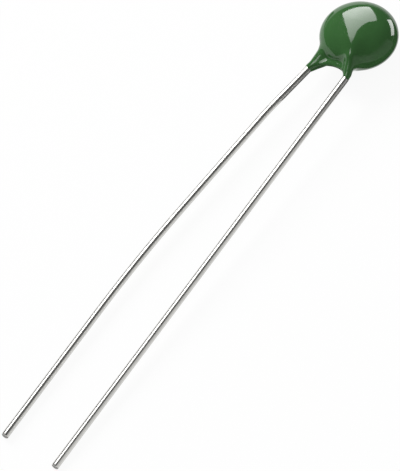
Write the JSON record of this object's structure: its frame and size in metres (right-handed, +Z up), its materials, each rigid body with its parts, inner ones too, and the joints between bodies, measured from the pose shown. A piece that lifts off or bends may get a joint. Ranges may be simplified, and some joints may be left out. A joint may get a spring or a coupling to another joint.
{
  "type": "ntc thermistor",
  "caption": "Dip-coated disc thermistor: a glossy dark green epoxy bead over a ceramic disc, with long tinned leads in a radial layout, for sensing temperature or limiting inrush current",
  "frame": {"origin": "the middle of the overall box on the surface that the part lies on, under the leads", "axes": "+X across the leads towards the front lead, +Y along the leads towards the coated disc, +Z up, out of the disc's front face; the part lies on its back and on its lead ends"},
  "size_m": [0.0066, 0.0498, 0.0037],
  "materials": {
    "coating": "glossy dark green epoxy lacquer",
    "ceramic": "matt sintered oxide ceramic",
    "silver": "matt fired silver",
    "solder": "smooth tin solder",
    "tinned_copper": "bright drawn tin plating"
  },
  "bodies": {
    "root": {"epoxy_coating": "coating", "ceramic_disc": "ceramic", "front_electrode": "silver", "back_electrode": "silver", "front_solder": "solder", "back_solder": "solder", "front_lead": "tinned_copper", "back_lead": "tinned_copper"}
  },
  "joints": []
}
